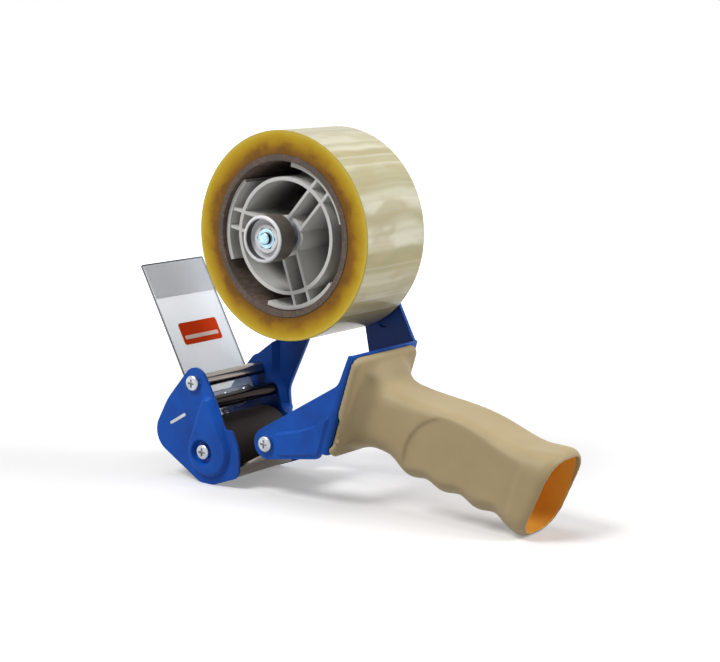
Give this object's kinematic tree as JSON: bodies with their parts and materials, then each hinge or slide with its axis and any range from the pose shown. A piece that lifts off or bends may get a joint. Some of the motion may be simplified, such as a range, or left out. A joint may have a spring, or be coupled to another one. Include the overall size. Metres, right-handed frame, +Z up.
{
  "type": "packing tape dispenser",
  "caption": "Hand-held packing tape dispenser with pistol grip, side-loading hub with brake knob, rubber roller, serrated blade, clear flap and a wide roll of clear packing tape",
  "frame": {"origin": "on the table, under the middle of the overall length and width", "axes": "+X from the roller head towards the handle, +Y towards the side that carries the hub, +Z up"},
  "size_m": [0.2525, 0.08, 0.1892],
  "materials": {
    "blue_coat": "royal blue powder coat",
    "bright_steel": "polished and plated",
    "zinc_steel": "bright zinc plate",
    "blade_steel": "ground spring steel",
    "spring_steel": "drawn wire",
    "clear_flap": "clear flexible plastic sheet",
    "dark_rubber": "smooth dark rubber",
    "black_nylon": "moulded",
    "grey_plastic": "light grey moulding",
    "white_plastic": "white moulding",
    "cardboard": "brown wound card",
    "clear_tape": "pale wound film with yellow sides",
    "beige_plastic": "soft satin moulding"
  },
  "bodies": {
    "root": {"main_frame": "blue_coat", "near_head_plate": "blue_coat", "top_guide_pin": "bright_steel", "lower_guide_pin": "bright_steel", "rear_pin": "bright_steel", "roller_axle": "bright_steel", "pan_head_screws": "zinc_steel", "blade_holder": "zinc_steel", "cutter_blade": "blade_steel", "blade_screws": "zinc_steel", "blade_nuts": "zinc_steel", "tape_flap": "clear_flap", "flap_clamp_strip": "zinc_steel", "flap_rivets": "zinc_steel", "guard_spring": "spring_steel", "hub_axle": "zinc_steel", "axle_washer": "zinc_steel", "axle_nut": "zinc_steel", "friction_washer": "black_nylon", "thrust_washer": "zinc_steel", "brake_spring": "spring_steel", "handle": "beige_plastic", "handle_screws": "zinc_steel"},
    "roller": {"roller_bushes": "black_nylon", "roller_core": "black_nylon", "rubber_roller": "dark_rubber"},
    "hub": {"hub_moulding": "grey_plastic"},
    "tape_roll": {"tape_core": "cardboard", "tape_winding": "clear_tape"},
    "knob": {"tension_knob": "white_plastic", "knob_nut": "zinc_steel"},
    "guard": {"guard_plate": "zinc_steel"}
  },
  "joints": [
    {"name": "roller_turn", "type": "hinge", "parent": "root", "child": "roller", "pos_m": [-0.07785, 0.001, 0.0173], "axis": [0, 1, 0], "continuous": true},
    {"name": "hub_turn", "type": "hinge", "parent": "root", "child": "hub", "pos_m": [-0.03045, 0.001, 0.1357], "axis": [0, 1, 0], "continuous": true},
    {"name": "tape_load", "type": "slide", "parent": "hub", "child": "tape_roll", "axis": [0, -1, 0], "range_m": [0, 0.07]},
    {"name": "knob_turn", "type": "hinge", "parent": "root", "child": "knob", "pos_m": [-0.03045, 0.001, 0.1357], "axis": [0, 1, 0], "range_deg": [-180, 180]},
    {"name": "guard_swing", "type": "hinge", "parent": "root", "child": "guard", "pos_m": [-0.03615, 0.001, 0.0281], "axis": [0, 1, 0], "range_deg": [-3, 4], "stiffness_Nm_per_rad": 0.06}
  ]
}
